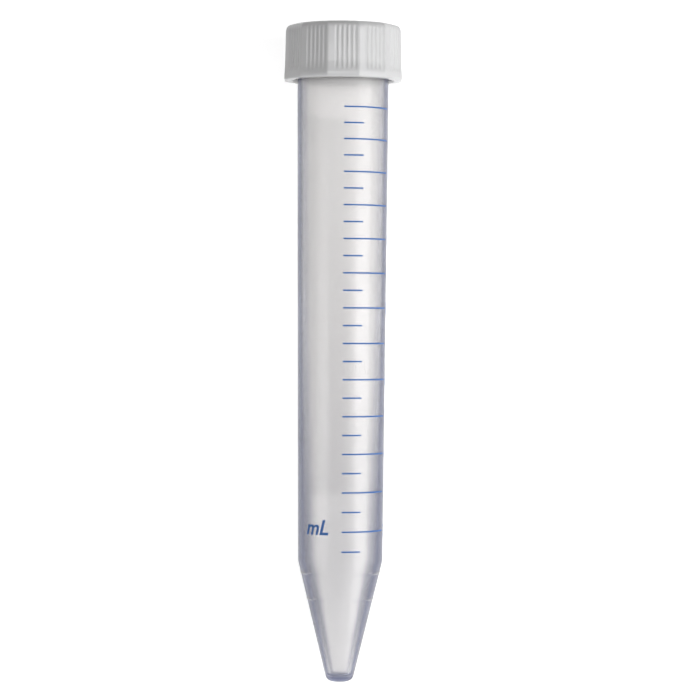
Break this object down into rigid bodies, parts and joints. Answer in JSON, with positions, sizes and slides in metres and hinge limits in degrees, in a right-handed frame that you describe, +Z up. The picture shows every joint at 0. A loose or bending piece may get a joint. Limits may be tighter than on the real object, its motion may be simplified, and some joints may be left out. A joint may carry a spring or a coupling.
{
  "type": "15 ml conical tube",
  "caption": "Clear moulded centrifuge tube with a conical tip, volume marks and a ribbed screw cap that unscrews along its thread.",
  "frame": {"origin": "middle of the outline's lower face: the level surface that the tube lies on", "axes": "+Y from tip to cap along the surface, +Z up, +X to the right of the tube as seen from above with the cap away; the tube's own axis leans 1.95 degrees up towards the cap"},
  "size_m": [0.0214, 0.1204, 0.0215],
  "materials": {
    "tube": "clear moulded polypropylene, slightly hazy",
    "cap": "white moulded polyethylene, satin",
    "seal": "soft natural polyethylene"
  },
  "bodies": {
    "tube": {"tube": "tube"},
    "seal": {"seal": "seal"},
    "cap": {"screw_cap": "cap"}
  },
  "joints": [
    {"name": "cap_lift", "type": "slide", "parent": "tube", "child": "seal", "axis": [0, 0.9994, 0.034], "range_m": [0, 0.009]},
    {"name": "cap_turn", "type": "hinge", "parent": "seal", "child": "cap", "pos_m": [0, 0.05802, 0.011], "axis": [0, 0.9994, 0.034], "range_deg": [0, 1080]}
  ],
  "couplings": [
    {"joint": "cap_turn", "follows": "cap_lift", "rad_per_m": 2094.4}
  ]
}
